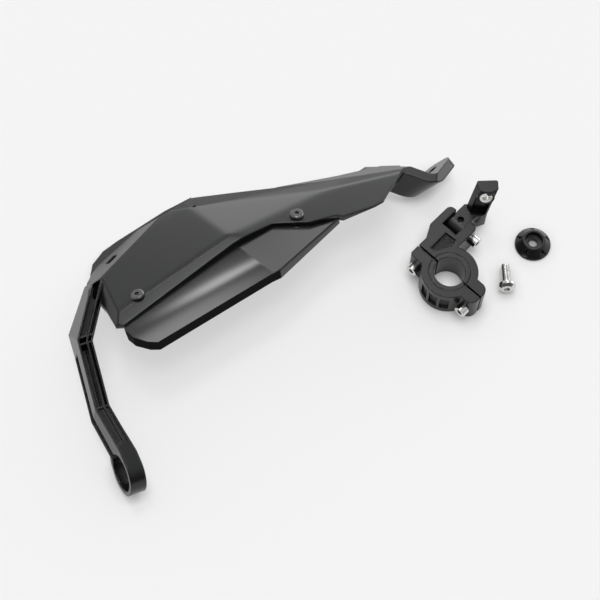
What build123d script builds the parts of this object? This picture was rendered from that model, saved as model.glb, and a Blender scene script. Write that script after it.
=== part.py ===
from build123d import *
from math import cos, radians, sin
import os

os.makedirs("parts", exist_ok=True)

# Shield and bow
shield_end = (-42.92427, 110.60967)
shield_h = 32.0
shield_reach = 150.0
shield_azimuth = 23.0
shield_rake = 14.0
shield_wall = 3.2
crown_rise = 9.0
rim_r = 2.5
bow_depth = 29.2
lip_drop = 19.5
flange_slot_len = 8.5
flange_slot_w = 6.5

# Arm and bar-end ring
arm_len = 88.0
knee_len = 41.0
elbow_off = (-78.076660, -115.406124)
ring_azimuth = 26.0
ring_lean = 16.0
ring_bore_d = 26.0
ring_wall = 3.0
ring_w = 11.0
arm_h = 20.0
arm_w = 10.0
groove_depth = 9.0
groove_end_depth = 1.6
groove_wide = 4.4
groove_narrow = 1.8
rib_t = 1.2
side_groove_w = 7.8
side_groove_depth = 2.6
side_groove_low = 1.2

# Inner leg and ear
leg_at = (-6.5, 66.3, 30.4)
leg_lean = 36.0
leg_t = 7.0
leg_w = 36.7
leg_bend_r = 5.0
ear_hole_d = 7.0
ear_corner_r = 10.0
ear_hole_in = 11.0
ear_drop = 15.0

# Spoiler
spoiler_wall = 3.0
spoiler_skirt = 10.0
spoiler_gap = 0.4
seat_gap = 0.05

# Shield screws
shield_screw_d = 5.0
shield_head_d = 9.5
shield_head_h = 2.6
shield_socket = 3.0
shield_nut_af = 8.0
shield_nut_h = 4.0
boss_d = 12.0
hole_play = 0.3

# Handlebar clamp
bar_d = 22.2
sleeve_wall = 3.2
clamp_h = 24.0
clamp_wall = 5.4
clamp_turn = -44.0
split_gap = 1.4
fit_play = 0.1
lug_left = 29.0
lug_right = 28.4
lug_t = 8.8
lug_corner_r = 6.0
lug_edge_r = 2.0
clamp_bolt_x = 22.5
clamp_bolt_d = 5.0
clamp_head_d = 8.5
clamp_head_h = 5.0
clamp_socket = 4.0
insert_wall = 1.2
insert_len = 8.0
top_pocket_depth = 2.0
rim_pockets = 3
rim_pocket_step = 25.0
rim_pocket_depth = 2.0
rim_pocket_w = 6.5
rim_pocket_z = 5.0

# Clevis, link and pivot
slot_x = -22.0
slot_w = 12.8
slot_floor = 24.0
ear_left_t = 5.8
ear_right_t = 7.4
clevis_end = 39.0
clevis_corner_r = 4.0
pivot_y = 34.5
pivot_d = 5.0
pivot_head_d = 8.5
pivot_head_h = 5.0
pivot_socket = 4.0
pivot_play = 0.05
link_play = 0.2
link_end_r = 8.5
link_reach = 23.0
link_hole_d = 4.5
link_hole_y = 2.5
post_at = (-18.8, 48.2)
post_turn = 44.0
post_lean = 0.25
post_w = 15.0
post_t = 9.2
post_h = 47.0
post_corner_r = 1.4
post_wall = 2.0
post_cap = 4.5
bush_d = 9.0
bush_boss_d = 12.0
bush_len = 8.0
bush_x = 0.8
bush_drop = 7.5
bush_tilt = 16.0

# Bar-end cone and mounting screw
cone_at = (62.7, 32.0)
cone_base_d = 25.4
cone_top_d = 15.4
cone_h = 8.0
cone_rim_h = 1.6
cone_recess_d = 12.4
cone_recess_depth = 4.2
cone_hole_d = 6.6
cone_notches = 5
cone_notch_r = 5.0
screw_at = (41.5, -2.2)
mount_d = 6.0
mount_len = 16.0
mount_head_d = 12.4
mount_head_h = 3.8
mount_socket = 4.0

# Reach of the cutting shapes, from above the crown to below the floor
reach = shield_h + crown_rise + shield_wall


# A frame turned by an azimuth, raked about its own x and leaned about its own y
def set_frame(at, azimuth, rake, lean):
    across = Axis((0, 0, 0), Vector(1, 0, 0).rotate(Axis.Z, azimuth))
    along = Axis((0, 0, 0), Vector(0, 1, 0).rotate(Axis.Z, azimuth))
    up = Vector(0, 0, 1).rotate(across, -rake).rotate(along, lean)
    return Plane(at, x_dir=across.direction.rotate(along, lean), z_dir=up)


# A plane through three points of a frame, facing up and lowered by a drop
def facet_plane(frame, corners, drop):
    a = frame.from_local_coords(Vector(*corners[0]))
    b = frame.from_local_coords(Vector(*corners[1]))
    c = frame.from_local_coords(Vector(*corners[2]))
    normal = (b - a).cross(c - a).normalized()
    if normal.dot(frame.z_dir) < 0:
        normal = normal * -1
    return Plane(a - normal * drop, x_dir=b - a, z_dir=normal)


# The seat of a screw: on a facet, straight above a point of the frame
def facet_seat(frame, corners, u, v):
    facet = facet_plane(frame, corners, 0)
    foot = frame.from_local_coords(Vector(u, v, 0))
    rise = (facet.origin - foot).dot(facet.z_dir) / frame.z_dir.dot(facet.z_dir)
    return Plane(foot + frame.z_dir * rise, x_dir=facet.x_dir, z_dir=facet.z_dir)


# A block with the given outline whose top is cut to flat facets, each lowered by the inset, with rounded creases
def faceted_block(frame, outline, facets, inset, rounds):
    with BuildPart() as block:
        with BuildSketch(frame.offset(-reach)):
            with BuildLine():
                Polyline(*outline, close=True)
            make_face()
            if inset != 0:
                offset(amount=-inset, kind=Kind.INTERSECTION)
        extrude(amount=2 * reach)
        for corners in facets:
            split(bisect_by=facet_plane(frame, corners, inset), keep=Keep.BOTTOM)
        for spot, radius in rounds:
            near = frame.from_local_coords(Vector(*spot))
            fillet(block.edges().sort_by_distance(near)[0], radius)
    return block.part


# The outline of a strip that runs between two distances to the left of a bent path
def strip_outline(path, near, far):
    sides = []
    for reach in (near, far):
        side = []
        for i, point in enumerate(path):
            here = Vector(*point)
            ahead = Vector(*path[min(i + 1, len(path) - 1)]) - here
            behind = here - Vector(*path[max(i - 1, 0)])
            if i == 0:
                behind = ahead
            if i == len(path) - 1:
                ahead = behind
            left_a = Vector(-behind.Y, behind.X).normalized()
            left_b = Vector(-ahead.Y, ahead.X).normalized()
            mitre = (left_a + left_b).normalized()
            moved = here + mitre * (reach / mitre.dot(left_a))
            side.append((moved.X, moved.Y))
        sides.append(side)
    return sides[0] + sides[1][::-1]


# A screw standing on its head seat, shank down, with a hexagon socket
def screw_solid(shank_d, shank_len, head_d, head_h, socket_af, dome):
    with BuildPart() as screw:
        with BuildSketch():
            Circle(head_d / 2)
        extrude(amount=head_h)
        if dome > 0:
            chamfer(screw.edges().group_by(Axis.Z)[-1], dome)
        with BuildSketch():
            Circle(shank_d / 2)
        extrude(amount=-shank_len)
        with BuildSketch(Plane.XY.offset(head_h)):
            RegularPolygon(socket_af / 2, 6, major_radius=False)
        extrude(amount=-head_h * 0.6, mode=Mode.SUBTRACT)
    return screw.part


# A hexagon nut or round bush with a plain bore, standing on the plane
def ring_solid(outer, bore, length, sides):
    with BuildPart() as ring:
        with BuildSketch():
            if sides == 6:
                RegularPolygon(outer / 2, 6, major_radius=False)
            else:
                Circle(outer / 2)
            Circle(bore / 2, mode=Mode.SUBTRACT)
        extrude(amount=length)
    return ring.part


shield_x = shield_end[0] - shield_reach * cos(radians(shield_azimuth))
shield_y = shield_end[1] - shield_reach * sin(radians(shield_azimuth))
shield_frame = set_frame((shield_x, shield_y, shield_h), shield_azimuth, shield_rake, 0)

# Shield corners and facets, in the shield's own frame
crown = (12, -51, crown_rise)
shield_outline = [
    (-76, -83), (-81, -80), (-82.5, -60), (-85, -46), (-90, -39), (-88, -29), (-82, -18), (-72, -6), (-50, 1),
    (-18, 4.5), (2, 2), (58, -16), (shield_reach - 47, -20), (shield_reach, -18.5), (shield_reach - 3, -40),
    (shield_reach - 21.5, -54), (shield_reach - 29, -62), (shield_reach - 36, -63.5), (shield_reach - 60, -64),
    (shield_reach - 63, -61), (shield_reach - 83, -60), (43, -51.5), (13, -57),
]
hollow_outline = [
    (-76, -83), (-81, -80), (-82.5, -60), (-84, -40), (-82, -18), (-72, -6), (-50, 1), (-18, 4.5), (2, 2),
    (58, -16), (shield_reach - 18, -20), (shield_reach - 24, -54), (shield_reach - 37, -61),
    (shield_reach - 83, -59.5), (43, -51.5), (13, -57),
]
lip_outline = [
    (-86, -27), (-83, -16), (-78.6, -6), (-68.4, 1.2), (-56.4, 3), (-18, 4.5), (2, 2), (2, -8), (-50, -18), (-72, -27),
]
top_left = (-80, -60, 0)
top_peak = (-4, -3, 0)
top_right = (shield_reach - 63, -36, 0)
end_right = (shield_reach - 30, -64, -2)
facet_left = (crown, top_peak, top_left)
facet_top = (crown, top_peak, top_right)
facet_right = (crown, top_right, end_right)
flange_left = ((-82, -40, -2), (-22, -5, -0.5), (-80, -11, -22))
flange_peak = ((-22, -5, -0.5), (0, -0.5, 0), (0, 6, -8))
flange_top = ((0, 0, 0), (shield_reach - 13, -44, 0), (shield_reach, -18.5, -20))
flange_end = ((shield_reach - 13, -44, -1.5), (shield_reach - 23, -56, -2), (shield_reach, -40, -16))
bevel_low = ((-72, -72, 2.8), (12, -52, crown_rise), (-76, -82.6, 0))
bevel_side = ((-76.5, -50, -1.1), (-76, -70, 1.9), (-82.5, -60, -5))
lip_top = ((-71.7, -9, -lip_drop), (-16.3, -1.6, 14 - lip_drop), (-68.4, 1.2, -2 - lip_drop))
bow_edge = ((-80, -83, -3.5), (shield_reach - 45, -64, -3), (0, 2, -bow_depth))
main_facets = [facet_left, facet_top, facet_right]
edge_facets = [flange_left, flange_peak, flange_top, flange_end, bevel_low, bevel_side]
shield_rounds = [((-52, -22.5, -1.2), rim_r), ((-30, -62, 5.9), rim_r), ((-76.5, -58, 0), rim_r)]

# Spoiler corners and facets, in the same frame
spoiler_outline = [
    (-76, -79), (-76, -85), (-73, -91), (-65, -97.5), (-59, -100), (28, -84), (35, -83.5), (shield_reach - 62, -61),
    (shield_reach - 61.5, -56), (shield_reach - 70, -46), (50, -38), (10, -40), (-44, -50), (-72, -55),
]
fold_in = (14, -50, 3)
fold_out = (28, -82, -4)
ridge = (20, -66, 1)
spoiler_upper = ((-75, -78, -2.2), fold_in, ridge)
spoiler_lower = ((-70, -89, -4.5), ridge, fold_out)
spoiler_right = (fold_in, fold_out, (shield_reach - 63, -58, -2.5))
skirt_edge = ((-75, -78, -3 - spoiler_skirt), (14, -50, 3 - spoiler_skirt), (28, -82, -3 - spoiler_skirt))

# Screw seats on the shield, and the slot in its left flange
seat_outer = facet_seat(shield_frame, facet_left, -59.8, -67)
seat_inner = facet_seat(shield_frame, facet_right, shield_reach - 88.7, -51)
flange_slot = facet_seat(shield_frame, flange_left, -65.6, -17.2)

# Spoiler shell, with its hidden edge lying against the shield's inner face
def lowered(corners, drop):
    facet = facet_plane(shield_frame, corners, drop)
    points = [facet.from_local_coords(Vector(*p)) for p in ((0, 0, 0), (10, 0, 0), (0, 10, 0))]
    return [tuple(shield_frame.to_local_coords(p)) for p in points]


spoiler_facets = [spoiler_upper, spoiler_lower, spoiler_right]
for corners in main_facets:
    spoiler_facets.append(lowered(corners, shield_wall + seat_gap))
spoiler_block = faceted_block(shield_frame, spoiler_outline, spoiler_facets, 0, [])
spoiler_hollow = faceted_block(shield_frame, spoiler_outline, spoiler_facets, spoiler_wall, [])
spoiler_room = faceted_block(shield_frame, spoiler_outline, spoiler_facets, -spoiler_gap, [])
grip = shield_wall + seat_gap + spoiler_wall

with BuildPart() as spoiler:
    add(spoiler_block)
    split(bisect_by=facet_plane(shield_frame, skirt_edge, 0), keep=Keep.TOP)
    add(spoiler_hollow, mode=Mode.SUBTRACT)
    for seat in (seat_outer, seat_inner):
        with BuildSketch(seat.offset(-shield_wall - seat_gap)):
            Circle(boss_d / 2)
        extrude(amount=-spoiler_wall)
        with BuildSketch(seat.offset(-grip)):
            Circle(boss_d / 2)
        extrude(amount=-reach / 2, mode=Mode.SUBTRACT)
        with BuildSketch(seat):
            Circle(shield_screw_d / 2 + hole_play)
        extrude(amount=-reach / 2, mode=Mode.SUBTRACT)
spoiler.part.label = "spoiler"
export_step(spoiler.part, "parts/spoiler.step")

# Arm with its bar-end ring: the front outline crossed with the side outline
ring_r = ring_bore_d / 2 + ring_wall
ring_z = ring_r * cos(radians(ring_lean)) + ring_w * sin(radians(ring_lean))
ring_x = shield_x + elbow_off[0] + arm_len * sin(radians(ring_azimuth))
ring_y = shield_y + elbow_off[1] - arm_len * cos(radians(ring_azimuth))
arm_frame = set_frame((ring_x, ring_y, ring_z), ring_azimuth, 0, ring_lean)
side_frame = Plane(arm_frame.origin, x_dir=arm_frame.y_dir, z_dir=arm_frame.x_dir)
arm_path = [(ring_w / 2, -25), (ring_w / 2, 6), (1.5, knee_len), (8, arm_len), (40, arm_len + 47)]
arm_top = [(0, ring_r), (knee_len, 18.2), (arm_len, 23.8), (arm_len + 52, 34)]
arm_under = [(0, 13 - arm_h), (arm_len, 23.8 - arm_h), (arm_len + 16, 23.8 - arm_h), (arm_len + 52, 24)]
arm_mid = arm_w / 2
elbow_top = (3.2, arm_len + 1.9, 24.2)
elbow_foot = (5, arm_len + 16, 23.8 - arm_h)
arm_flank = (elbow_top, elbow_foot, (30, arm_len + 40.8, 31.5))
with BuildPart() as grooves:
    with BuildSketch(arm_frame):
        with BuildLine():
            Polyline(*strip_outline(arm_path, arm_mid - rib_t, arm_mid - rib_t - groove_wide), close=True)
        make_face()
        with BuildLine():
            Polyline(*strip_outline(arm_path, rib_t - arm_mid, rib_t - arm_mid + groove_narrow), close=True)
        make_face()
        for rib_y in (knee_len, arm_len - 2, arm_len + 2.5):
            with Locations((arm_path[2][0], rib_y)):
                Rectangle(4 * arm_w, rib_t, mode=Mode.SUBTRACT)
    extrude(amount=2 * reach, both=True)
    with BuildSketch(side_frame):
        with BuildLine():
            Polyline((14, 16.7 - groove_end_depth), (knee_len, 18.2 - groove_end_depth),
                     (knee_len, 18.2 - groove_depth), (arm_len, 23.8 - groove_depth),
                     (arm_len + 37, 31 - groove_depth), (arm_len + 37, 60), (14, 60), close=True)
        make_face()
    extrude(amount=2 * reach, both=True, mode=Mode.INTERSECT)
with BuildPart() as side_groove:
    with BuildSketch(arm_frame):
        with BuildLine():
            Polyline(*strip_outline(arm_path, arm_mid - side_groove_depth, arm_mid + 3), close=True)
        make_face()
    extrude(amount=2 * reach, both=True)
    with BuildSketch(side_frame):
        with BuildLine():
            low = 13 - arm_h + side_groove_low
            Polyline((12, low + 1.5), (arm_len - 3, low + 10.4), (arm_len - 3, low + 10.4 + side_groove_w),
                     (12, low + 1.5 + side_groove_w), close=True)
        make_face()
    extrude(amount=2 * reach, both=True, mode=Mode.INTERSECT)
with BuildPart() as arm:
    with BuildSketch(arm_frame):
        with BuildLine():
            Polyline(*strip_outline(arm_path, -arm_mid, arm_mid), close=True)
        make_face()
        with BuildLine():
            Polyline((4, arm_len - 1), elbow_top[:2], (5.4, arm_len + 18), (32, arm_len + 57),
                     (40, arm_len + 50), close=True)
        make_face()
        with BuildLine():
            Polyline((0, -ring_r), (ring_w, -ring_r), (ring_w, 6), (7.7, 30), (0, 10), close=True)
        make_face()
    extrude(amount=2 * reach, both=True)
    with BuildSketch(side_frame):
        with BuildLine():
            Polyline(*arm_top, *arm_under[::-1], close=True)
        make_face()
        Circle(ring_r)
    extrude(amount=2 * reach, both=True, mode=Mode.INTERSECT)
    split(bisect_by=facet_plane(arm_frame, arm_flank, 0), keep=Keep.BOTTOM)
    for corners in (facet_left, flange_left):
        split(bisect_by=facet_plane(shield_frame, corners, 0), keep=Keep.BOTTOM)
    with BuildSketch(side_frame):
        Circle(ring_bore_d / 2)
    extrude(amount=reach, both=True, mode=Mode.SUBTRACT)
    add(grooves.part, mode=Mode.SUBTRACT)
    add(side_groove.part, mode=Mode.SUBTRACT)

# Inner leg and ear: one bent strip standing along its own lean
leg_frame = Plane(leg_at).rotated((0, leg_lean, 0))
leg_path = [(-34, 16.5), (0, 1.3), (18.6, 26.2)]
leg_top = ((0, 0, 0.5), (-18.2, 6.6, -11.2), (-24.1, 16.4, -15.8))
leg_foot = ((-14.6, 4, -leg_w), (-3.3, -1, 7.2 - leg_w), (1.7, 20, 0.3 - leg_w))
ear_run = (Vector(*leg_path[2]) - Vector(*leg_path[1])).normalized()
ear_hole_at = Vector(*leg_path[2]) - ear_run * ear_hole_in
with BuildPart() as leg:
    with BuildSketch(leg_frame) as leg_sketch:
        with BuildLine():
            Polyline(*strip_outline(leg_path, -leg_t / 2, leg_t / 2), close=True)
        make_face()
        bend = Vector(*leg_path[1])
        fillet(leg_sketch.vertices().sort_by_distance(bend + Vector(0, leg_t))[0], leg_bend_r)
        fillet(leg_sketch.vertices().sort_by_distance(bend - Vector(0, leg_t))[0], leg_bend_r + leg_t)
    extrude(amount=-2 * leg_w)
    split(bisect_by=Plane.XY, keep=Keep.TOP)
    ear_tip = leg_frame.from_local_coords(Vector(*leg_path[2], -ear_drop))
    ear_end = leg.faces().sort_by_distance(ear_tip)[0]
    fillet(ear_end.edges().sort_by(SortBy.LENGTH)[:2], ear_corner_r)
    hole_at = leg_frame.from_local_coords(Vector(ear_hole_at.X, ear_hole_at.Y, -ear_drop))
    run_out = leg_frame.from_local_coords(Vector(ear_run.X, ear_run.Y, 0)) - leg_frame.origin
    with BuildSketch(Plane(hole_at, x_dir=run_out, z_dir=leg_frame.z_dir.cross(run_out))):
        Circle(ear_hole_d / 2)
    extrude(amount=leg_t, both=True, mode=Mode.SUBTRACT)
    split(bisect_by=facet_plane(leg_frame, leg_top, 0), keep=Keep.BOTTOM)
    split(bisect_by=facet_plane(leg_frame, leg_foot, 0), keep=Keep.TOP)
    split(bisect_by=facet_plane(shield_frame, flange_top, 0), keep=Keep.BOTTOM)

# Guard: shield shell, arm and leg in one moulding
shield_block = faceted_block(shield_frame, shield_outline, main_facets + edge_facets, 0, shield_rounds)
shield_hollow = faceted_block(shield_frame, hollow_outline, main_facets + edge_facets, shield_wall, [])
lip_block = faceted_block(shield_frame, lip_outline, [lip_top], 0, [])
lip_hollow = faceted_block(shield_frame, lip_outline, [lip_top], shield_wall, [])
with BuildPart() as guard:
    add(shield_block)
    add(lip_block)
    split(bisect_by=facet_plane(shield_frame, bow_edge, 0), keep=Keep.TOP)
    add(shield_hollow, mode=Mode.SUBTRACT)
    add(lip_hollow, mode=Mode.SUBTRACT)
    add(arm.part)
    add(leg.part)
    add(spoiler_room, mode=Mode.SUBTRACT)
    with BuildSketch(flange_slot):
        Rectangle(flange_slot_len, flange_slot_w)
    extrude(amount=-2 * shield_wall, mode=Mode.SUBTRACT)
    for seat in (seat_outer, seat_inner):
        with BuildSketch(seat.offset(-shield_wall)):
            Circle(boss_d / 2 + spoiler_gap)
        extrude(amount=-2 * spoiler_wall, mode=Mode.SUBTRACT)
        with BuildSketch(seat):
            Circle(shield_screw_d / 2 + hole_play)
        extrude(amount=-reach / 2, mode=Mode.SUBTRACT)
guard.part.label = "guard"
export_step(guard.part, "parts/guard.step")

# Shield screws and their nuts under the spoiler's hidden edge
for name, seat in (("outer", seat_outer), ("inner", seat_inner)):
    screw = seat.location * screw_solid(
        shield_screw_d, grip + shield_nut_h + 1, shield_head_d, shield_head_h, shield_socket, shield_head_h * 0.3)
    screw.label = "shield_screw_" + name
    export_step(screw, "parts/shield_screw_" + name + ".step")
    nut = seat.offset(-grip - seat_gap - shield_nut_h).location * ring_solid(
        shield_nut_af, shield_screw_d + seat_gap, shield_nut_h, 6)
    nut.label = "shield_nut_" + name
    export_step(nut, "parts/shield_nut_" + name + ".step")

# Handlebar clamp, in a frame turned about the bar: x along the split, y toward the clevis
clamp_frame = Plane.XY.rotated((0, 0, clamp_turn))
sleeve_r = bar_d / 2 + sleeve_wall
seat_r = sleeve_r + fit_play
clamp_r = seat_r + clamp_wall
half_gap = split_gap / 2
slot_left = slot_x - slot_w / 2
slot_right = slot_x + slot_w / 2
mid_h = clamp_h / 2
insert_d = clamp_bolt_d + 2 * insert_wall
bolt_line = Plane(clamp_frame.from_local_coords(Vector(0, 0, mid_h)), x_dir=clamp_frame.x_dir, z_dir=clamp_frame.y_dir)
pivot_line = Plane(clamp_frame.from_local_coords(Vector(slot_right + ear_right_t, pivot_y, mid_h)),
                   x_dir=clamp_frame.y_dir, z_dir=clamp_frame.x_dir)

lug_span = lug_left + lug_right
lug_mid = (lug_right - lug_left) / 2
clevis_left = slot_left - ear_left_t
clevis_right = slot_right + ear_right_t
with BuildPart() as clamp_upper:
    with BuildSketch(clamp_frame):
        Circle(clamp_r)
        with Locations((lug_mid, lug_t / 2)):
            Rectangle(lug_span, lug_t)
        with BuildLine():
            Polyline((-lug_left + 2, 4), (clevis_left, 18), (clevis_left, clevis_end),
                     (clevis_right, clevis_end), (clevis_right, 12), (-6, 4), close=True)
        make_face()
        with Locations((0, half_gap - 2 * clamp_r)):
            Rectangle(4 * lug_span, 4 * clamp_r, mode=Mode.SUBTRACT)
        Circle(seat_r, mode=Mode.SUBTRACT)
    extrude(amount=clamp_h)
    upright = clamp_upper.edges().filter_by(Axis.Z)
    lug_end = upright.sort_by_distance(clamp_frame.from_local_coords(Vector(lug_right, lug_t, mid_h)))[0]
    clevis_ends = []
    for x in (clevis_left, clevis_right):
        clevis_ends.append(upright.sort_by_distance(clamp_frame.from_local_coords(Vector(x, clevis_end, mid_h)))[0])
    fillet(lug_end, lug_corner_r)
    fillet(clevis_ends, clevis_corner_r)
    with BuildSketch(clamp_frame):
        with Locations((slot_x, slot_floor + clevis_end / 2)):
            Rectangle(slot_w, clevis_end)
    extrude(amount=clamp_h, mode=Mode.SUBTRACT)
    with BuildSketch(clamp_frame.offset(clamp_h)):
        with BuildLine():
            Polyline((-21.5, 4), (-21.8, 20.5), (-13, 21), (-12.2, 15), (-18, 4.5), close=True)
        make_face()
    extrude(amount=-top_pocket_depth, mode=Mode.SUBTRACT)
    with BuildSketch(pivot_line):
        Circle(pivot_d / 2 + pivot_play)
    extrude(amount=-ear_right_t - slot_w / 2, mode=Mode.SUBTRACT)
    with BuildSketch(pivot_line.offset(-ear_right_t - slot_w)):
        RegularPolygon(pivot_d / 2 + insert_wall, 6, major_radius=False)
    extrude(amount=-ear_left_t, mode=Mode.SUBTRACT)
    with BuildSketch(bolt_line):
        with Locations((-clamp_bolt_x, 0), (clamp_bolt_x, 0)):
            RegularPolygon(insert_d / 2, 6, major_radius=False)
    extrude(amount=half_gap + insert_len, mode=Mode.SUBTRACT)
clamp_upper.part.label = "clamp_upper"
export_step(clamp_upper.part, "parts/clamp_upper.step")

with BuildPart() as clamp_lower:
    with BuildSketch(clamp_frame):
        Circle(clamp_r)
        with Locations((lug_mid, -lug_t / 2)):
            Rectangle(lug_span, lug_t)
        with Locations((0, 2 * clamp_r - half_gap)):
            Rectangle(4 * lug_span, 4 * clamp_r, mode=Mode.SUBTRACT)
        Circle(seat_r, mode=Mode.SUBTRACT)
    extrude(amount=clamp_h)
    for x, radius in ((-lug_left, lug_edge_r), (lug_right, lug_corner_r)):
        corner = clamp_frame.from_local_coords(Vector(x, -lug_t, mid_h))
        fillet(clamp_lower.edges().filter_by(Axis.Z).sort_by_distance(corner)[0], radius)
    with BuildSketch(clamp_frame.offset(rim_pocket_z)):
        pocket_start = -82 - rim_pocket_step * (rim_pockets - 1) / 2
        with PolarLocations(clamp_r, rim_pockets, pocket_start, rim_pockets * rim_pocket_step):
            Rectangle(2 * rim_pocket_depth, rim_pocket_w)
    extrude(amount=clamp_h - 2 * rim_pocket_z, mode=Mode.SUBTRACT)
    with BuildSketch(bolt_line):
        with Locations((-clamp_bolt_x, 0), (clamp_bolt_x, 0)):
            Circle(clamp_bolt_d / 2 + hole_play)
    extrude(amount=-2 * lug_t, mode=Mode.SUBTRACT)
clamp_lower.part.label = "clamp_lower"
export_step(clamp_lower.part, "parts/clamp_lower.step")

# Split reducer sleeve between the clamp and the bar
for name, way in (("upper", 1), ("lower", -1)):
    with BuildPart() as sleeve:
        with BuildSketch(clamp_frame):
            Circle(sleeve_r)
            with Locations((0, way * (half_gap - 2 * sleeve_r))):
                Rectangle(4 * sleeve_r, 4 * sleeve_r, mode=Mode.SUBTRACT)
            Circle(bar_d / 2, mode=Mode.SUBTRACT)
        extrude(amount=clamp_h)
    sleeve.part.label = "sleeve_" + name
    export_step(sleeve.part, "parts/sleeve_" + name + ".step")

# Clamp bolts with heads under the lower lugs, and the hexagon inserts they thread into
for name, x in (("left", -clamp_bolt_x), ("right", clamp_bolt_x)):
    head_at = Plane(bolt_line.from_local_coords(Vector(x, 0, -lug_t)), x_dir=bolt_line.x_dir, z_dir=-bolt_line.z_dir)
    bolt = head_at.location * screw_solid(
        clamp_bolt_d, lug_t + half_gap + insert_len - 0.5, clamp_head_d, clamp_head_h, clamp_socket, 0)
    bolt.label = "clamp_bolt_" + name
    export_step(bolt, "parts/clamp_bolt_" + name + ".step")
    insert_at = Plane(bolt_line.from_local_coords(Vector(x, 0, half_gap)), x_dir=bolt_line.x_dir, z_dir=bolt_line.z_dir)
    insert = insert_at.location * ring_solid(insert_d - seat_gap, clamp_bolt_d + seat_gap, insert_len - seat_gap, 6)
    insert.label = "clamp_insert_" + name
    export_step(insert, "parts/clamp_insert_" + name + ".step")

# Pivot bolt across the clevis and the hexagon insert it threads into
pivot_bolt = pivot_line.location * screw_solid(
    pivot_d, ear_right_t + slot_w + ear_left_t - 0.5, pivot_head_d, pivot_head_h, pivot_socket, 0)
pivot_bolt.label = "pivot_bolt"
export_step(pivot_bolt, "parts/pivot_bolt.step")
pivot_insert = pivot_line.offset(-ear_right_t - slot_w - ear_left_t).location * ring_solid(
    pivot_d + 2 * insert_wall - seat_gap, pivot_d + seat_gap, ear_left_t, 6)
pivot_insert.label = "pivot_insert"
export_step(pivot_insert, "parts/pivot_insert.step")

# Link: round foot in the clevis and a leaning post, turned on the foot, with a recessed front
link_w = slot_w - 2 * link_play
link_side = Plane(clamp_frame.from_local_coords(Vector(slot_x, pivot_y, mid_h)),
                  x_dir=clamp_frame.y_dir, z_dir=clamp_frame.x_dir)
foot_left = slot_x - link_w / 2
foot_right = slot_x + link_w / 2
foot_top = mid_h + link_end_r
post_base = clamp_frame.from_local_coords(Vector(*post_at, mid_h))
post_turned = set_frame(post_base, clamp_turn + post_turn, 0, 0)
post_dir = Vector(0, 0, 1) + clamp_frame.y_dir * post_lean
post_frame = Plane(post_base, x_dir=post_turned.y_dir.cross(post_dir), z_dir=post_dir)
post_scale = post_dir.length
bush_at = post_base + post_dir * (post_h - bush_drop - mid_h) + post_turned.x_dir * bush_x
bush_out = (post_turned.y_dir * -cos(radians(bush_tilt)) + Vector(0, 0, sin(radians(bush_tilt)))).normalized()
back = post_t / 2
bush_plane = Plane(bush_at, x_dir=post_turned.x_dir, z_dir=bush_out).offset(back)
post_end = Plane((0, 0, post_h))
with BuildPart() as link:
    with BuildSketch(link_side):
        Circle(link_end_r)
        with BuildLine():
            Polyline((0, -link_end_r), (link_reach - 4, -link_end_r), (link_reach, -link_end_r + 6),
                     (link_reach, link_end_r), (0, link_end_r), close=True)
        make_face()
    extrude(amount=2 * link_w, both=True)
    with BuildSketch(clamp_frame):
        with BuildLine():
            Polyline((foot_left, pivot_y - 2 * link_end_r), (foot_left, 48), (-17, 58), (-11.8, 53.4),
                     (foot_right, 45.5), (foot_right, pivot_y - 2 * link_end_r), close=True)
        make_face()
    extrude(amount=2 * clamp_h, mode=Mode.INTERSECT)
    with BuildSketch(post_frame) as post_face:
        with BuildLine():
            Polyline((-post_w / 2, back), (post_w / 2, back), (post_w / 2, 2 - back), (3, -back), (-4.5, 1 - back), close=True)
        make_face()
        fillet(post_face.vertices(), post_corner_r)
    extrude(amount=post_h * post_scale)
    split(bisect_by=post_end, keep=Keep.BOTTOM)
    with BuildSketch(post_frame.offset((foot_top - mid_h) * post_scale)):
        with BuildLine():
            Polyline((post_wall + 1 - post_w / 2, back - 2 * post_wall), (post_w / 2 - post_wall, back - 2 * post_wall),
                     (post_w / 2 - post_wall, -post_t), (post_wall - post_w / 2, -post_t), close=True)
        make_face()
    extrude(amount=(post_h - post_cap - foot_top) * post_scale, mode=Mode.SUBTRACT)
    with BuildSketch(bush_plane):
        Circle(bush_boss_d / 2)
    extrude(amount=-back)
    with BuildSketch(bush_plane):
        Circle(bush_d / 2)
    extrude(amount=-2 * post_t, mode=Mode.SUBTRACT)
    with BuildSketch(clamp_frame.offset(foot_top)):
        with Locations((slot_x, pivot_y + link_hole_y)):
            Circle(link_hole_d / 2)
    extrude(amount=-link_end_r / 2, mode=Mode.SUBTRACT)
    with BuildSketch(link_side):
        Circle(pivot_d / 2 + pivot_play)
    extrude(amount=post_w, both=True, mode=Mode.SUBTRACT)
link.part.label = "link"
export_step(link.part, "parts/link.step")

# Threaded bush in the post, proud of the recess
link_bush = bush_plane.offset(-bush_len).location * ring_solid(bush_d - seat_gap, mount_d - 1, bush_len, 0)
link_bush.label = "link_bush"
export_step(link_bush, "parts/link_bush.step")

# Bar-end cone: a turned body with a head recess and notches round its slope
with BuildPart() as bar_end_cone:
    with BuildSketch(Plane.XZ) as cone_profile:
        with BuildLine():
            Polyline((cone_hole_d / 2, 0), (cone_base_d / 2, 0), (cone_base_d / 2, cone_rim_h),
                     (cone_top_d / 2, cone_h), (cone_recess_d / 2, cone_h),
                     (cone_recess_d / 2, cone_h - cone_recess_depth),
                     (cone_hole_d / 2, cone_h - cone_recess_depth), close=True)
        make_face()
    revolve(axis=Axis.Z)
    with BuildSketch(Plane.XY.offset(cone_rim_h)):
        with PolarLocations(cone_base_d / 2, cone_notches, 90):
            RegularPolygon(cone_notch_r, 3, rotation=180)
    extrude(amount=cone_h, mode=Mode.SUBTRACT)
cone = Location((cone_at[0], cone_at[1], 0)) * bar_end_cone.part
cone.label = "bar_end_cone"
export_step(cone, "parts/bar_end_cone.step")

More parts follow.
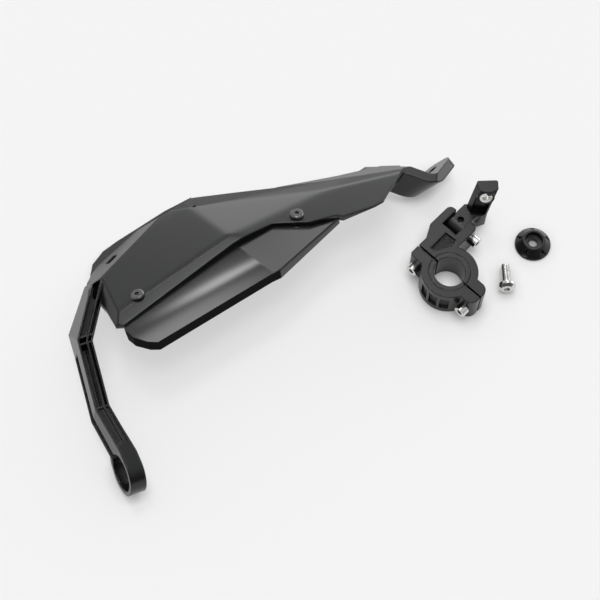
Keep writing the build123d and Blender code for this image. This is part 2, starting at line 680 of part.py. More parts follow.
# Mounting screw, lying on its head's rim and its point
mount_tilt = 8.0
lie = Plane((screw_at[0], screw_at[1], mount_head_d / 2)).rotated((90 - mount_tilt, 0, 0))
mounting_screw = lie.location * screw_solid(mount_d, mount_len, mount_head_d, mount_head_h, mount_socket, mount_head_h * 0.5)
mounting_screw.label = "mounting_screw"
export_step(mounting_screw, "parts/mounting_screw.step")
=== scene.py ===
"""Looks of a motorcycle hand guard that lies on a white floor with its clamp, bar-end cone and screw."""

import logging
import math
from dataclasses import dataclass, field
from enum import Enum
from typing import Any, Optional

import bpy
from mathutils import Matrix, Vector
from mathutils.bvhtree import BVHTree


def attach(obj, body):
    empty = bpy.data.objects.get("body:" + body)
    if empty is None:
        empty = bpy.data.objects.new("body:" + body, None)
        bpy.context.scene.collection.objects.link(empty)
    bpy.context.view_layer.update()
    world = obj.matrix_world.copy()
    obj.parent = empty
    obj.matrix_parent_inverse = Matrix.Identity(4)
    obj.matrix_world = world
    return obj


log = logging.getLogger("hand_guard")

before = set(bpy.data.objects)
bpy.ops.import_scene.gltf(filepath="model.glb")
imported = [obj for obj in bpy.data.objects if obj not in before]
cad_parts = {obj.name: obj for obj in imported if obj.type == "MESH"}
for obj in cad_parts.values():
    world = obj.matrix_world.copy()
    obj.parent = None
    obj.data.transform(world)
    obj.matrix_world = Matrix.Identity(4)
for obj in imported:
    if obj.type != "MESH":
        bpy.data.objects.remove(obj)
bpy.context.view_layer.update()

MM = 0.001
UP = Vector((0.0, 0.0, 1.0))
# Faces whose normals and heights agree this closely lie in one flat field
LEVEL_COSINE = 0.9999
LEVEL_MM = 0.05
# Rays that one shading point sends out to find the edges and the openings near it
EDGE_RAYS = 6
OPENING_RAYS = 8

Point = tuple[float, float, float]


class Grain(Enum):
    """How a surface was left by the process that made it."""

    SMOOTH = "smooth"
    SPARK = "spark"


def linear(hex_colour: str) -> tuple[float, float, float, float]:
    """Turns an sRGB hex colour into linear light.

    Args:
        hex_colour: six hex digits, with or without a leading mark.

    Returns:
        Red, green, blue and full alpha.
    """
    digits = hex_colour.lstrip("#")
    parts = [int(digits[i:i + 2], 16) / 255 for i in (0, 2, 4)]
    light = [p / 12.92 if p <= 0.04045 else ((p + 0.055) / 1.055) ** 2.4 for p in parts]
    return light[0], light[1], light[2], 1.0


def add_node(tree: bpy.types.NodeTree, kind: str, settings: Optional[dict[str, Any]] = None,
             values: Optional[dict[str | int, Any]] = None,
             links: Optional[dict[str | int, bpy.types.NodeSocket]] = None) -> bpy.types.Node:
    """Adds one node with its settings, its input constants and its incoming links.

    Args:
        tree: the tree that takes the node.
        kind: the node's type name.
        settings: attributes of the node itself.
        values: name or number of an input to its constant.
        links: name or number of an input to the output socket that feeds it.

    Returns:
        The new node.
    """
    node = tree.nodes.new(kind)
    for name, value in (settings or {}).items():
        setattr(node, name, value)
    for name, value in (values or {}).items():
        node.inputs[name].default_value = value
    for name, socket in (links or {}).items():
        tree.links.new(socket, node.inputs[name])
    return node


@dataclass
class Faces:
    """The faces of one CAD node, found by place.

    Args:
        mesh: the node's mesh.
    """

    mesh: bpy.types.Mesh
    tree: BVHTree = field(init=False)

    def __post_init__(self) -> None:
        """Sorts the faces by place."""
        self.tree = BVHTree.FromPolygons([v.co for v in self.mesh.vertices],
                                         [p.vertices for p in self.mesh.polygons])

    def at(self, point_mm: Point) -> bpy.types.MeshPolygon:
        """Finds the face nearest to a point.

        Args:
            point_mm: the point.

        Returns:
            The face.
        """
        return self.mesh.polygons[self.tree.find_nearest(Vector(point_mm) * MM)[2]]

    def level(self, face: bpy.types.MeshPolygon) -> set[int]:
        """Gathers the faces that make one flat field.

        Args:
            face: one of them.

        Returns:
            Their numbers.
        """
        out, middle = face.normal, face.center
        return {other.index for other in self.mesh.polygons if other.normal.dot(out) > LEVEL_COSINE
                and abs(out.dot(other.center - middle)) < LEVEL_MM * MM}


@dataclass(frozen=True)
class Facet:
    """One flat field of a moulding.

    Args:
        seed_mm: a point on it.
        lean_mm: a point on the face that it leans towards.
        lean: how far it leans there, from 0 to 1.
        through_mm: a point that the leaning field passes through.
    """

    seed_mm: Point
    lean_mm: Optional[Point] = None
    lean: float = 0.0
    through_mm: Optional[Point] = None

    def plane(self, faces: Faces) -> tuple[Vector, float]:
        """Finds the field's plane.

        Args:
            faces: the moulding's faces.

        Returns:
            The plane's normal and its offset in metres.
        """
        face = faces.at(self.seed_mm)
        out, point = face.normal.copy(), face.center
        if self.lean_mm:
            out = out.lerp(faces.at(self.lean_mm).normal, self.lean).normalized()
        if self.through_mm:
            point = Vector(self.through_mm) * MM
        return out, out.dot(point)


@dataclass(frozen=True)
class Crown:
    """Flat facets of a moulding that run softly into each other.

    Args:
        facets: the fields that the surface is drawn together from.
        blend_mm: how deep below a neighbour's plane its pull on the surface has faded.
        top_mm: the highest point of the crown.
        radius_mm: radius that the facets are crowned to.
        patch_mm: middle of a small spot that the facets run over.
        patch_r_mm: reach of that spot.
        patch_sine: slope that the spot's faces keep above, as the upward share of their normal.
        edge_pulls: sums of the pulls between which the softening of outer edges fades, so that creases keep their own.
        beyond: the facets on the far side of a seam.
        seam_mm: two points of that seam, with the far side to the right on the way from the first to the second.
        seam_width_mm: width of the seam.
    """

    facets: tuple[Facet, ...]
    blend_mm: float
    top_mm: Point
    radius_mm: float
    patch_mm: Point = (0.0, 0.0, 0.0)
    patch_r_mm: float = 0.0
    patch_sine: float = -0.05
    edge_pulls: tuple[float, float] = (1.1, 1.5)
    beyond: Optional["Crown"] = None
    seam_mm: tuple[tuple[float, float], ...] = ()
    seam_width_mm: float = 0.8

    def cover(self, faces: Faces, index: int) -> int:
        """Gives the faces on the facets their material.

        Args:
            faces: the moulding's faces.
            index: place of the material on the mesh.

        Returns:
            How many faces took it.
        """
        covered = set().union(*(faces.level(faces.at(facet.seed_mm)) for facet in self.facets))
        middle = Vector(self.patch_mm) * MM
        covered |= {face.index for face in faces.mesh.polygons if face.normal.z > self.patch_sine
                    and (face.center - middle).length < self.patch_r_mm * MM}
        for number in covered:
            faces.mesh.polygons[number].material_index = index
        return len(covered)

    def normal(self, tree: bpy.types.NodeTree, faces: Faces,
               rounded: bpy.types.NodeSocket) -> bpy.types.NodeSocket:
        """Draws the facets together into one soft surface.

        Args:
            tree: the material's tree.
            faces: the moulding's faces.
            rounded: the normal with the edges softened.

        Returns:
            The normal of the soft surface.
        """
        place = add_node(tree, "ShaderNodeTexCoord").outputs["Object"]
        soft, pulls = self._blend(tree, faces, place)
        bend = 1 / (self.radius_mm * MM)
        top = Vector((self.top_mm[0], self.top_mm[1], 0.0))
        swell = add_node(tree, "ShaderNodeVectorMath", {"operation": "MULTIPLY_ADD"}, {
            1: (bend, bend, 0.0), 2: -top / self.radius_mm}, {0: place})
        soft = add_node(tree, "ShaderNodeVectorMath", {"operation": "ADD"},
                        links={0: soft, 1: swell.outputs["Vector"]}).outputs["Vector"]
        flat = add_node(tree, "ShaderNodeNewGeometry").outputs["Normal"]
        turn = add_node(tree, "ShaderNodeVectorMath", {"operation": "SUBTRACT"}, links={0: rounded, 1: flat})
        share = add_node(tree, "ShaderNodeMapRange", {"interpolation_type": "SMOOTHSTEP"}, {
            "From Min": self.edge_pulls[0], "From Max": self.edge_pulls[1], "To Min": 1.0, "To Max": 0.0},
            {"Value": pulls})
        edge = add_node(tree, "ShaderNodeVectorMath", {"operation": "SCALE"},
                        links={0: turn.outputs["Vector"], "Scale": share.outputs["Result"]})
        soft = add_node(tree, "ShaderNodeVectorMath", {"operation": "ADD"},
                        links={0: soft, 1: edge.outputs["Vector"]}).outputs["Vector"]
        if self.beyond:
            soft = self._cross_seam(tree, place, soft, self.beyond.normal(tree, faces, rounded))
        return add_node(tree, "ShaderNodeVectorMath", {"operation": "NORMALIZE"}, links={0: soft}).outputs["Vector"]

    def _blend(self, tree: bpy.types.NodeTree, faces: Faces,
               place: bpy.types.NodeSocket) -> tuple[bpy.types.NodeSocket, bpy.types.NodeSocket]:
        """Weighs the facets at each point by how far it stands above their planes.

        Args:
            tree: the material's tree.
            faces: the moulding's faces.
            place: the shaded point.

        Returns:
            The facets' mean normal, and the sum of their pulls.
        """
        soft, pulls = None, None
        for out, offset in (facet.plane(faces) for facet in self.facets):
            height = add_node(tree, "ShaderNodeVectorMath", {"operation": "DOT_PRODUCT"}, {1: out}, {0: place})
            depth = add_node(tree, "ShaderNodeMath", {"operation": "MULTIPLY_ADD"}, {
                1: 1 / (self.blend_mm * MM), 2: -offset / (self.blend_mm * MM)}, {0: height.outputs["Value"]})
            pull = add_node(tree, "ShaderNodeMath", {"operation": "EXPONENT"}, links={0: depth.outputs["Value"]})
            lean = add_node(tree, "ShaderNodeVectorMath", {"operation": "SCALE"}, {0: out},
                            {"Scale": pull.outputs["Value"]})
            if soft is None:
                soft, pulls = lean.outputs["Vector"], pull.outputs["Value"]
                continue
            soft = add_node(tree, "ShaderNodeVectorMath", {"operation": "ADD"},
                            links={0: soft, 1: lean.outputs["Vector"]}).outputs["Vector"]
            pulls = add_node(tree, "ShaderNodeMath", {"operation": "ADD"},
                             links={0: pulls, 1: pull.outputs["Value"]}).outputs["Value"]
        mean = add_node(tree, "ShaderNodeVectorMath", {"operation": "NORMALIZE"}, links={0: soft})
        return mean.outputs["Vector"], pulls

    def _cross_seam(self, tree: bpy.types.NodeTree, place: bpy.types.NodeSocket, near: bpy.types.NodeSocket,
                    far: bpy.types.NodeSocket) -> bpy.types.NodeSocket:
        """Goes over from this crown to the one beyond the seam.

        Args:
            tree: the material's tree.
            place: the shaded point.
            near: this crown's normal.
            far: the normal beyond the seam.

        Returns:
            The normal on both sides.
        """
        start, end = (Vector((x, y, 0.0)) * MM for x, y in self.seam_mm)
        side = (end - start).cross(UP).normalized()
        middle, half = side.dot(start), self.seam_width_mm * MM / 2
        reach = add_node(tree, "ShaderNodeVectorMath", {"operation": "DOT_PRODUCT"}, {1: side}, {0: place})
        share = add_node(tree, "ShaderNodeMapRange", {"interpolation_type": "SMOOTHSTEP"}, {
            "From Min": middle - half, "From Max": middle + half}, {"Value": reach.outputs["Value"]})
        turn = add_node(tree, "ShaderNodeVectorMath", {"operation": "SUBTRACT"}, links={0: far, 1: near})
        turn = add_node(tree, "ShaderNodeVectorMath", {"operation": "SCALE"},
                        links={0: turn.outputs["Vector"], "Scale": share.outputs["Result"]})
        return add_node(tree, "ShaderNodeVectorMath", {"operation": "ADD"},
                        links={0: near, 1: turn.outputs["Vector"]}).outputs["Vector"]


@dataclass(frozen=True)
class Finish:
    """One real surface: what it is made of and how it was made.

    Args:
        name: the material's name.
        colour: sRGB hex of the bare material.
        roughness: spread of its reflection.
        metallic: 1 for bare metal.
        grain: what the process left on the surface.
        grain_mm: width of one grain.
        grain_depth_mm: height of one grain.
        edge_mm: radius that every edge is softened to.
        specular: strength of the reflection of a plastic.
    """

    name: str
    colour: str
    roughness: float
    metallic: float = 0.0
    grain: Grain = Grain.SMOOTH
    grain_mm: float = 0.3
    grain_depth_mm: float = 0.01
    edge_mm: float = 0.4
    specular: float = 0.5

    def build(self, crown: Optional[Crown] = None, faces: Optional[Faces] = None) -> bpy.types.Material:
        """Makes the Blender material.

        Args:
            crown: facets that run softly into each other.
            faces: the faces of the moulding that has them.

        Returns:
            The material, with its tree filled.
        """
        material = bpy.data.materials.new(self.name + "_crowned" if crown else self.name)
        material.use_nodes = True
        tree = material.node_tree
        tree.nodes.clear()
        surface = add_node(tree, "ShaderNodeBsdfPrincipled", values={
            "Base Color": linear(self.colour), "Roughness": self.roughness,
            "Metallic": self.metallic, "Specular IOR Level": self.specular})
        add_node(tree, "ShaderNodeOutputMaterial", links={"Surface": surface.outputs["BSDF"]})
        rounded = add_node(tree, "ShaderNodeBevel", {"samples": EDGE_RAYS}, {"Radius": self.edge_mm * MM})
        normal = rounded.outputs["Normal"]
        if crown and faces:
            normal = crown.normal(tree, faces, normal)
        if self.grain is Grain.SPARK:
            place = add_node(tree, "ShaderNodeTexCoord")
            noise = add_node(tree, "ShaderNodeTexNoise", values={
                "Scale": 1.0 / (self.grain_mm * MM), "Detail": 2.0, "Roughness": 0.5},
                links={"Vector": place.outputs["Object"]})
            bump = add_node(tree, "ShaderNodeBump", values={
                "Strength": 1.0, "Distance": self.grain_depth_mm * MM},
                links={"Height": noise.outputs["Fac"], "Normal": normal})
            normal = bump.outputs["Normal"]
        tree.links.new(normal, surface.inputs["Normal"])
        return material


# Injection-moulded polypropylene from a spark-eroded mould: a black satin that shows the room in broad soft fields.
# The pits of the mould are about 0.1 mm wide and are drawn coarser, so that they break up the reflection at all
GUARD_PLASTIC = Finish("moulded_polypropylene_satin", "#1b1c1d", 0.30, grain=Grain.SPARK, grain_mm=0.35,
                       grain_depth_mm=0.006, edge_mm=2.2)
# Arm, ring and leg of the same shot, from a smooth part of the mould, with tight lights along the edges; their colour
# and reflection are painted darker than the shield's, painted shade for their deeper black
ARM_PLASTIC_PAINTED_DARKER = Finish("moulded_polypropylene_smooth_painted_darker", "#0f1011", 0.22, edge_mm=1.8, specular=0.45)
# The same plastic from a polished mould: reflections draw together into one soft bright band
SPOILER_PLASTIC = Finish("moulded_polypropylene_polished", "#1a1b1c", 0.2, edge_mm=1.6)
# The spoiler's rolled skirt and underside: the same plastic with painted shade, near black and with its reflection
# nearly taken away, a dead black without a highlight
SKIRT_PAINTED_SHADE = Finish("moulded_polypropylene_painted_shade", "#080808", 0.6, edge_mm=0.8, specular=0.06)
# Glass-filled nylon, moulded: a dry black with a fine fleck where the fibres come up, drawn coarser than it is
CLAMP_PLASTIC = Finish("glass_filled_nylon_moulded", "#101112", 0.3, grain=Grain.SPARK, grain_mm=0.4,
                       grain_depth_mm=0.008, edge_mm=1.3, specular=0.36)
# Moulded elastomer of the reducer sleeve: smoother than the clamp round it, with one soft light down its inside
SLEEVE_PLASTIC = Finish("moulded_elastomer_smooth", "#111213", 0.26, edge_mm=1.0, specular=0.4)
# Zinc-plated steel: a bright silver that mirrors the white floor and the black plastic beside it
ZINC_STEEL = Finish("zinc_plated_steel", "#d8d8d6", 0.13, metallic=1.0, edge_mm=0.35)
# Steel with a black oxide skin: dark grey heads with a light rim
BLACK_STEEL = Finish("black_oxide_steel", "#6c6c6d", 0.22, metallic=1.0, edge_mm=0.9)


def dress(node: str, material: bpy.types.Material) -> None:
    """Gives one CAD node its material and reports it.

    Args:
        node: the node's name.
        material: the finish that covers it.
    """
    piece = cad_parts[node]
    piece.data.materials.clear()
    piece.data.materials.append(material)
    log.info("%s: %s", node, material.name)


def dress_crown(node: str, finish: Finish, crown: Crown) -> None:
    """Covers the crowned facets of one CAD node.

    Args:
        node: the node's name.
        finish: the surface that they have.
        crown: where they are and how they run together.
    """
    faces = Faces(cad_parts[node].data)
    faces.mesh.materials.append(finish.build(crown, faces))
    log.info("%s: %d faces crowned", node, crown.cover(faces, len(faces.mesh.materials) - 1))


def add_piece(name: str, points: list[Vector], faces: list[tuple[int, ...]], material: bpy.types.Material) -> bpy.types.Object:
    """Adds one mesh that rides with the guard.

    Args:
        name: the piece's name.
        points: its corners in metres.
        faces: corner numbers of each face.
        material: the finish that covers it.

    Returns:
        The new piece.
    """
    mesh = bpy.data.meshes.new(name)
    mesh.from_pydata(points, [], faces)
    mesh.materials.append(material)
    piece = bpy.data.objects.new(name, mesh)
    bpy.context.scene.collection.objects.link(piece)
    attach(piece, "guard_set")
    log.info("%s: %d faces, %s", name, len(faces), material.name)
    return piece


@dataclass(frozen=True)
class Grip:
    """Moulded diamonds that fill the floor of a pocket.

    Args:
        floors_mm: a point on each floor.
        pitch_mm: width of one diamond.
        height_mm: height of one diamond.
        side: direction of the side of a pocket with a level floor.
        level_deg: slope up to which a floor counts as level.
        rows: most diamonds on each side of that point.
        probe_mm: height from which a corner is dropped to see whether the floor reaches there.
    """

    floors_mm: tuple[Point, ...]
    pitch_mm: float = 1.3
    height_mm: float = 0.45
    side: Point = (0.719, -0.695, 0.0)
    level_deg: float = 30.0
    rows: int = 12
    probe_mm: float = 1.0

    def build(self, node: str, material: bpy.types.Material) -> bpy.types.Object:
        """Sets the diamonds on their floors.

        Args:
            node: the CAD node that has the pockets.
            material: the finish of that node.

        Returns:
            The piece with all its diamonds.
        """
        clamp = Faces(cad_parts[node].data)
        points: list[Vector] = []
        faces: list[tuple[int, ...]] = []
        for floor_mm in self.floors_mm:
            floor = clamp.at(floor_mm)
            out, level = floor.normal.copy(), clamp.level(floor)
            probe = out * self.probe_mm * MM
            right, left = self._steps(out)
            for i in range(-self.rows, self.rows + 1):
                for j in range(-self.rows, self.rows + 1):
                    middle = Vector(floor_mm) * MM + right * i + left * j
                    corners = [middle + right * u / 2 + left * v / 2
                               for u, v in ((-1, -1), (-1, 1), (1, 1), (1, -1))]
                    if all(clamp.tree.ray_cast(corner + probe, -out, 2 * probe.length)[2] in level
                           for corner in corners):
                        first = len(points)
                        points += corners + [middle + out * self.height_mm * MM]
                        faces += [(first + k, first + (k + 1) % 4, first + 4) for k in range(4)]
        return add_piece(node + "_grip", points, faces, material)

    def _steps(self, out: Vector) -> tuple[Vector, Vector]:
        """Works out the two slanting steps from one diamond to the next.

        Args:
            out: the floor's normal.

        Returns:
            Both steps in metres.
        """
        along = UP.cross(out)
        steep = along.length > math.sin(math.radians(self.level_deg))
        along = along.normalized() if steep else Vector(self.side).normalized()
        across = out.cross(along)
        return ((along + across).normalized() * self.pitch_mm * MM,
                (along - across).normalized() * self.pitch_mm * MM)


@dataclass(frozen=True)
class Thread:
    """A rolled thread on a shank.

    Args:
        seat_mm: where the shank leaves the head.
        axis: direction of the shank.
        radius_mm: radius of the shank.
        first_mm: where the thread starts.
        last_mm: where it ends.
        pitch_mm: rise of one turn.
        depth_mm: height of its crest.
        flank: from its crest to its root, as a share of the pitch.
        sink_mm: how far its roots go into the shank.
        steps: corners in one turn.
    """

    seat_mm: Point
    axis: Point
    radius_mm: float
    first_mm: float
    last_mm: float
    pitch_mm: float = 1.0
    depth_mm: float = 0.3
    flank: float = 0.42
    sink_mm: float = 0.03
    steps: int = 24

    def build(self, node: str, material: bpy.types.Material) -> bpy.types.Object:
        """Winds the thread round its shank.

        Args:
            node: the CAD node of the screw.
            material: the finish of that node.

        Returns:
            The wound ridge.
        """
        ahead = Vector(self.axis).normalized()
        right = ahead.orthogonal().normalized()
        over = ahead.cross(right)
        count = int((self.last_mm - self.first_mm) / self.pitch_mm * self.steps)
        points: list[Vector] = []
        faces: list[tuple[int, ...]] = []
        for k in range(count + 1):
            turn = math.tau * k / self.steps
            out = right * math.cos(turn) + over * math.sin(turn)
            crest = self.depth_mm * min(1.0, k / self.steps, (count - k) / self.steps)
            for share, rise in ((-self.flank, -self.sink_mm), (0.0, crest), (self.flank, -self.sink_mm)):
                along = self.first_mm + self.pitch_mm * (k / self.steps + share)
                points.append((Vector(self.seat_mm) + ahead * along + out * (self.radius_mm + rise)) * MM)
            if k:
                a, b = 3 * k - 3, 3 * k
                faces += [(a, a + 1, b + 1, b), (a + 1, a + 2, b + 2, b + 1)]
        return add_piece(node + "_thread", points, faces, material)


@dataclass
class Shield:
    """The guard moulding with its spoiler and the screws that join them.

    The fields that are points, in millimetres, each name a spot on one flat face: first the guard's, then the
    spoiler's. A back is the outer wall behind a field, which the field's edge rolls towards.
    """

    shell: Finish = GUARD_PLASTIC
    arm: Finish = ARM_PLASTIC_PAINTED_DARKER
    spoiler: Finish = SPOILER_PLASTIC
    skirt: Finish = SKIRT_PAINTED_SHADE
    screws: Finish = BLACK_STEEL
    nuts: Finish = ZINC_STEEL
    ends: tuple[str, ...] = ("outer", "inner")
    main_field: Point = (-197.6, 5.3, 43.1)
    main_back: Point = (-213.0, 36.7, 9.8)
    peak_field: Point = (-135.0, 44.0, 40.0)
    peak_back: Point = (-151.2, 54.3, 20.4)
    inner_field: Point = (-78.9, 44.7, 43.9)
    flange: Point = (-62.3, 73.3, 30.1)
    flange_back: Point = (-101.5, 63.8, 24.4)
    lower_rim: Point = (-187.8, -20.7, 52.6)
    outer_end: Point = (-230.6, 10.8, 26.6)
    front_field: Point = (-173.4, -35.5, 48.7)
    front_skirt: Point = (-159.6, -38.8, 43.8)
    upper_field: Point = (-182.0, -16.0, 47.9)
    tail_field: Point = (-121.8, 10.2, 46.4)
    tail_skirt: Point = (-97.8, 8.3, 42.4)
    shell_crown: Crown = Crown(
        facets=(Facet(main_field), Facet(peak_field), Facet(inner_field),
                Facet(lower_rim, lean_mm=main_field, lean=0.3), Facet(outer_end),
                Facet(flange, lean_mm=flange_back, lean=0.2, through_mm=(-62.3, 65.6, 38.8)),
                Facet(peak_field, lean_mm=peak_back, lean=0.16, through_mm=(-157.8, 47.8, 35.7)),
                Facet(main_field, lean_mm=main_back, lean=0.10, through_mm=(-188.5, 44.5, 32.4))),
        blend_mm=0.25, top_mm=(-160.0, 20.0, 45.0), radius_mm=2500.0,
        patch_mm=(-178.5, 49.0, 33.0), patch_r_mm=6.5)
    ridge_crown: Crown = Crown(
        facets=(Facet(front_field),
                Facet(upper_field, lean_mm=tail_field, lean=0.18, through_mm=(-218.5, -54.1, 49.5)),
                Facet(front_field, lean_mm=front_skirt, lean=0.13, through_mm=(-178.0, -39.0, 48.7))),
        blend_mm=0.5, top_mm=(-120.0, -12.0, 47.0), radius_mm=900.0)
    tail_crown: Crown = Crown(
        facets=(Facet(tail_field), Facet(tail_skirt)),
        blend_mm=0.3, top_mm=(-120.0, 10.0, 46.0), radius_mm=1500.0,
        beyond=ridge_crown, seam_mm=((-147.0, 9.5), (-122.7, -11.1)))

    def build(self, shelf: dict[str, bpy.types.Material]) -> None:
        """Dresses the shield's pieces.

        Args:
            shelf: finish name to material.
        """
        # Arm, ring, leg and ear take the same plastic painted darker than the shield: painted shade
        dress("guard", shelf[self.arm.name])
        # The spoiler's skirt and underside take the painted-shade black; its top fields are covered by the crowns
        # below
        dress("spoiler", shelf[self.skirt.name])
        dress_crown("guard", self.shell, self.shell_crown)
        dress_crown("spoiler", self.spoiler, self.ridge_crown)
        dress_crown("spoiler", self.spoiler, self.tail_crown)
        for end in self.ends:
            dress("shield_screw_" + end, shelf[self.screws.name])
            dress("shield_nut_" + end, shelf[self.nuts.name])


@dataclass
class Clamp:
    """The handlebar clamp with its sleeve, bolts and pivoting link."""

    body: Finish = CLAMP_PLASTIC
    sleeve: Finish = SLEEVE_PLASTIC
    steel: Finish = ZINC_STEEL
    sides: tuple[str, ...] = ("left", "right")
    halves: tuple[str, ...] = ("upper", "lower")
    pivot: tuple[str, ...] = ("link_bush", "pivot_bolt", "pivot_insert")
    top_grip: Grip = Grip(((-3.2, 22.1, 22.0),))
    rim_grip: Grip = Grip(((-15.6, -8.6, 12.0), (-10.5, -14.4, 12.0), (-3.4, -17.5, 12.0)))

    def build(self, shelf: dict[str, bpy.types.Material]) -> None:
        """Dresses the clamp's pieces.

        Args:
            shelf: finish name to material.
        """
        for half in self.halves:
            dress("clamp_" + half, shelf[self.body.name])
            dress("sleeve_" + half, shelf[self.sleeve.name])
        for side in self.sides:
            dress("clamp_bolt_" + side, shelf[self.steel.name])
            dress("clamp_insert_" + side, shelf[self.steel.name])
        self.top_grip.build("clamp_upper", shelf[self.body.name])
        self.rim_grip.build("clamp_lower", shelf[self.body.name])
        dress("link", shelf[self.body.name])
        for node in self.pivot:
            dress(node, shelf[self.steel.name])


@dataclass
class LoosePieces:
    """The bar-end cone and the fixing screw that lie beside the clamp."""

    cone: Finish = CLAMP_PLASTIC
    screw: Finish = ZINC_STEEL
    thread: Thread = Thread(seat_mm=(41.5, -2.2, 6.2), axis=(0.0, 0.990268, -0.139173), radius_mm=3.0,
                            first_mm=1.5, last_mm=15.4)

    def build(self, shelf: dict[str, bpy.types.Material]) -> None:
        """Dresses the two loose pieces.

        Args:
            shelf: finish name to material.
        """
        dress("bar_end_cone", shelf[self.cone.name])
        dress("mounting_screw", shelf[self.screw.name])
        self.thread.build("mounting_screw", shelf[self.screw.name])


@dataclass(frozen=True)
class SoftBox:
    """A soft lamp in the room.

    Args:
        elevation: height above the floor's horizon in degrees.
        azimuth: turn from straight back towards the right in degrees.
        inner: half width of its even middle in degrees.
        outer: half width at which it has faded in degrees.
        light: what it adds to the room.
    """

    elevation: float
    azimuth: float
    inner: float
    outer: float
    light: float

    def direction(self) -> Point:
        """Says where the lamp hangs.

        Returns:
            The direction from the object to it.
        """
        up, turn = math.radians(self.elevation), math.radians(self.azimuth)
        return math.cos(up) * math.sin(turn), math.cos(up) * math.cos(turn), math.sin(up)

    def hang(self, tree: bpy.types.NodeTree, place: bpy.types.NodeSocket) -> bpy.types.NodeSocket:
        """Hangs the lamp in the room.

        Args:
            tree: the world's tree.
            place: the direction that is looked in.

        Returns:
            Its light in that direction.
        """
        near = add_node(tree, "ShaderNodeVectorMath", {"operation": "DOT_PRODUCT"}, {1: self.direction()}, {0: place})
        lamp = add_node(tree, "ShaderNodeMapRange", {"interpolation_type": "SMOOTHSTEP"}, {
            "From Min": math.cos(math.radians(self.outer)), "From Max": math.cos(math.radians(self.inner)),
            "To Min": 0.0, "To Max": self.light}, {"Value": near.outputs["Value"]})
        return lamp.outputs["Result"]


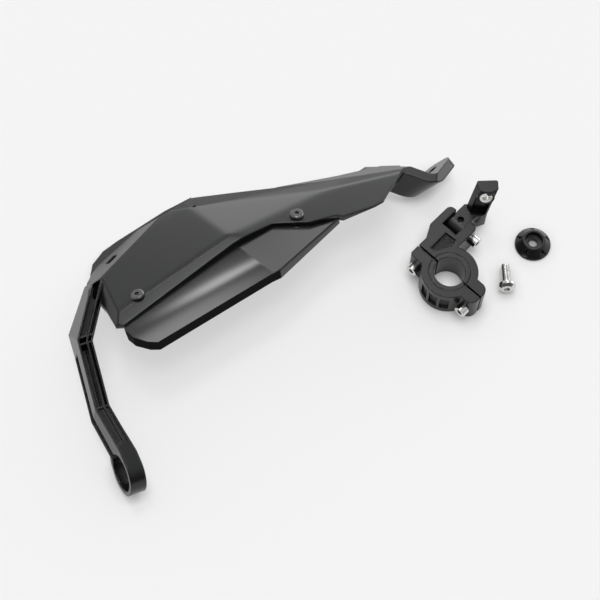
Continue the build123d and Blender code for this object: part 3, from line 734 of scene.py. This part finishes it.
@dataclass
class Studio:
    """White floor, a room of soft light and the camera.

    Args:
        eye_m: where the camera stands.
        aim_m: the point in the middle of its view.
        lens_mm: its focal length.
        sensor_mm: width of its sensor.
        floor_m: side of the floor.
        floor_colour: sRGB hex of the floor.
        floor_glow: share of the floor that shows as plain colour, so that its shadows stay pale.
        hole_mm: reach of the painted shade: within this distance of a wall, in a hole or along a contact edge, the
            floor's colour is darkened and its glow taken away.
        room_light: light of the walls.
        front_light: light of the wall behind the camera.
        front_span: backward share of a direction over which the front wall goes over into the others.
        foot_light: light of the bright sweep along the foot of the back wall.
        foot_sines: upward share of a direction over which the sweep fades.
        foot_back: backward share over which it comes up.
        foot_left: sideways share over which it comes up from the left.
        boxes: the soft lamps.
        stage: what isn't part of the object.
    """

    eye_m: Point = (-0.1034, -0.4097, 0.9171)
    aim_m: Point = (-0.1034, -0.0110, 0.0)
    lens_mm: float = 85.4
    sensor_mm: float = 36.0
    floor_m: float = 8.0
    floor_colour: str = "#f5f5f5"
    floor_glow: float = 0.6
    hole_mm: float = 10.0
    room_light: float = 0.66
    front_light: float = 0.1
    front_span: tuple[float, float] = (-0.75, -0.1)
    foot_light: float = 3.2
    foot_sines: tuple[float, float] = (0.12, 0.42)
    foot_back: tuple[float, float] = (0.1, 0.6)
    foot_left: tuple[float, float] = (-0.55, -0.2)
    boxes: tuple[SoftBox, ...] = (SoftBox(elevation=65.0, azimuth=-15.0, inner=2.0, outer=9.0, light=13.0),
                                  SoftBox(elevation=54.0, azimuth=12.0, inner=2.0, outer=9.0, light=3.5),
                                  SoftBox(elevation=91.0, azimuth=0.0, inner=3.0, outer=16.0, light=5.5))
    stage: list[bpy.types.Object] = field(default_factory=list)

    def build(self) -> None:
        """Sets the floor, the room's light, the camera and the view."""
        self._floor()
        self._world()
        self._camera()
        bpy.context.scene.view_settings.view_transform = "Standard"

    def _floor(self) -> None:
        """Lays a wide matt white sheet at height zero, part of it glowing in its own colour where it is looked at,
        with painted shade that darkens its colour and takes its glow away near walls, in holes and along contact
        edges.
        """
        half = self.floor_m / 2
        mesh = bpy.data.meshes.new("floor")
        mesh.from_pydata([(-half, -half, 0), (half, -half, 0), (half, half, 0), (-half, half, 0)], [], [(0, 1, 2, 3)])
        floor = bpy.data.objects.new("floor", mesh)
        bpy.context.scene.collection.objects.link(floor)
        paper = bpy.data.materials.new("matt_white_sheet")
        paper.use_nodes = True
        tree = paper.node_tree
        tree.nodes.clear()
        colour = linear(self.floor_colour)
        # Painted shade: ambient occlusion darkens the floor's colour and cuts its glow near walls, in holes and along
        # contact edges
        painted_hole_shade = add_node(tree, "ShaderNodeAmbientOcclusion", {"samples": OPENING_RAYS}, {
            "Distance": self.hole_mm * MM, "Color": colour})
        matt = add_node(tree, "ShaderNodeBsdfDiffuse", links={"Color": painted_hole_shade.outputs["Color"]})
        glow = add_node(tree, "ShaderNodeEmission", values={"Color": colour, "Strength": 1.0})
        ray = add_node(tree, "ShaderNodeLightPath")
        seen = ray.outputs["Is Camera Ray"]
        for way in ("Is Glossy Ray", "Is Transmission Ray"):
            seen = add_node(tree, "ShaderNodeMath", {"operation": "MAXIMUM"},
                            links={0: seen, 1: ray.outputs[way]}).outputs["Value"]
        share = add_node(tree, "ShaderNodeMath", {"operation": "MULTIPLY"}, {1: self.floor_glow}, {0: seen})
        share = add_node(tree, "ShaderNodeMath", {"operation": "MULTIPLY"}, links={
            0: share.outputs["Value"], 1: painted_hole_shade.outputs["AO"]})
        sheet = add_node(tree, "ShaderNodeMixShader", links={
            0: share.outputs["Value"], 1: matt.outputs["BSDF"], 2: glow.outputs["Emission"]})
        add_node(tree, "ShaderNodeOutputMaterial", links={"Surface": sheet.outputs["Shader"]})
        mesh.materials.append(paper)
        self.stage.append(floor)

    def _world(self) -> None:
        """Fills the room: grey walls, dark behind the camera, a bright sweep along the back and soft boxes above."""
        world = bpy.data.worlds.new("studio_room")
        world.use_nodes = True
        tree = world.node_tree
        tree.nodes.clear()
        place = add_node(tree, "ShaderNodeTexCoord").outputs["Generated"]
        axes = add_node(tree, "ShaderNodeSeparateXYZ", links={"Vector": place})
        steps = {"sweep": ("Z", self.foot_sines, (self.foot_light, 0.0)),
                 "sweep_back": ("Y", self.foot_back, (0.0, 1.0)),
                 "sweep_left": ("X", self.foot_left, (0.0, 1.0)),
                 "walls": ("Y", self.front_span, (self.front_light, self.room_light))}
        ramps = {}
        for name, (axis, span, levels) in steps.items():
            ramp = add_node(tree, "ShaderNodeMapRange", {"interpolation_type": "SMOOTHSTEP"}, {
                "From Min": span[0], "From Max": span[1], "To Min": levels[0], "To Max": levels[1]},
                {"Value": axes.outputs[axis]})
            ramps[name] = ramp.outputs["Result"]
        light = ramps["sweep"]
        for name in ("sweep_back", "sweep_left"):
            light = add_node(tree, "ShaderNodeMath", {"operation": "MULTIPLY"},
                             links={0: light, 1: ramps[name]}).outputs["Value"]
        for part in [ramps["walls"]] + [box.hang(tree, place) for box in self.boxes]:
            light = add_node(tree, "ShaderNodeMath", {"operation": "ADD"},
                             links={0: light, 1: part}).outputs["Value"]
        room = add_node(tree, "ShaderNodeBackground", values={"Color": linear("#ffffff")}, links={"Strength": light})
        add_node(tree, "ShaderNodeOutputWorld", links={"Surface": room.outputs["Background"]})
        bpy.context.scene.world = world

    def _camera(self) -> None:
        """Sets the camera that the photograph was taken with."""
        data = bpy.data.cameras.new("camera")
        data.lens = self.lens_mm
        data.sensor_width = self.sensor_mm
        data.dof.use_dof = False
        camera = bpy.data.objects.new("camera", data)
        camera.location = self.eye_m
        aim = Vector(self.aim_m) - Vector(self.eye_m)
        camera.rotation_euler = aim.to_track_quat("-Z", "Y").to_euler()
        bpy.context.scene.collection.objects.link(camera)
        bpy.context.scene.camera = camera


def main() -> None:
    """Builds the finishes, dresses each sub-assembly and sets the studio."""
    logging.basicConfig(level=logging.INFO, format="%(message)s")
    finishes = (ARM_PLASTIC_PAINTED_DARKER, SKIRT_PAINTED_SHADE, CLAMP_PLASTIC, SLEEVE_PLASTIC, ZINC_STEEL, BLACK_STEEL)
    shelf = {finish.name: finish.build() for finish in finishes}
    Shield().build(shelf)
    Clamp().build(shelf)
    LoosePieces().build(shelf)
    Studio().build()


if __name__ == "__main__":
    main()
